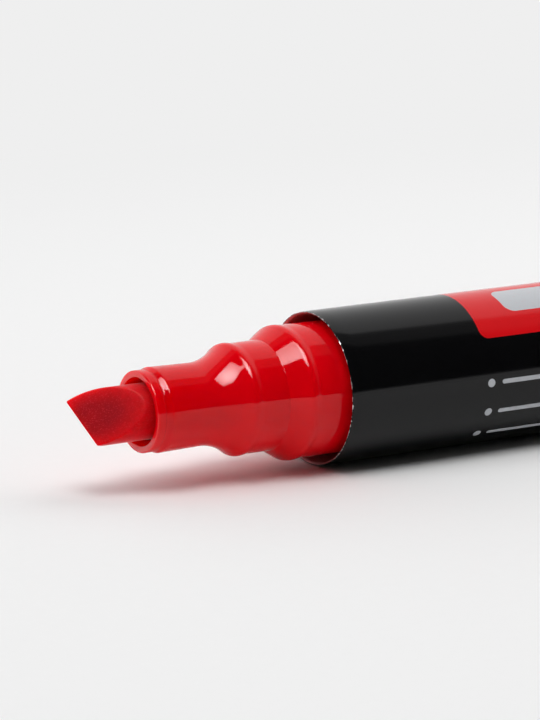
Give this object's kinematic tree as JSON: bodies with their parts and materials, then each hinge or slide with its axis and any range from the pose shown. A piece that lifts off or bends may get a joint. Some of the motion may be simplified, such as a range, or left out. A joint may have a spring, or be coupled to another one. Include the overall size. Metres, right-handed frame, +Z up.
{
  "type": "permanent marker",
  "caption": "Uncapped permanent marker lying on its side: round metal barrel, stepped nose, felt chisel nib and a pull-off cap with clip posted on the tail.",
  "frame": {"origin": "on the table, under the middle of the barrel", "axes": "+X along the marker from the nib to the tail, +Z up from the table"},
  "size_m": [0.1583, 0.0191, 0.0169],
  "materials": {
    "barrel_lacquer": "black gloss lacquer with a printed panel, bare cut edges",
    "red_plastic": "moulded, polished",
    "nib_felt": "pressed felt, soaked with ink",
    "ink_fibre": "fibre bundle, soaked with ink",
    "clear_film": "thin film",
    "cap_plastic": "moulded, polished",
    "liner_plastic": "natural polyethylene"
  },
  "bodies": {
    "marker": {"barrel_tube": "barrel_lacquer", "nose_section": "red_plastic", "nib": "nib_felt", "reservoir_core": "ink_fibre", "reservoir_film": "clear_film", "tail_plug": "red_plastic"},
    "cap": {"cap_shell": "cap_plastic", "cap_liner": "liner_plastic"}
  },
  "joints": [
    {"name": "cap_pull", "type": "slide", "parent": "marker", "child": "cap", "axis": [1, 0, 0], "range_m": [0, 0.03]}
  ]
}
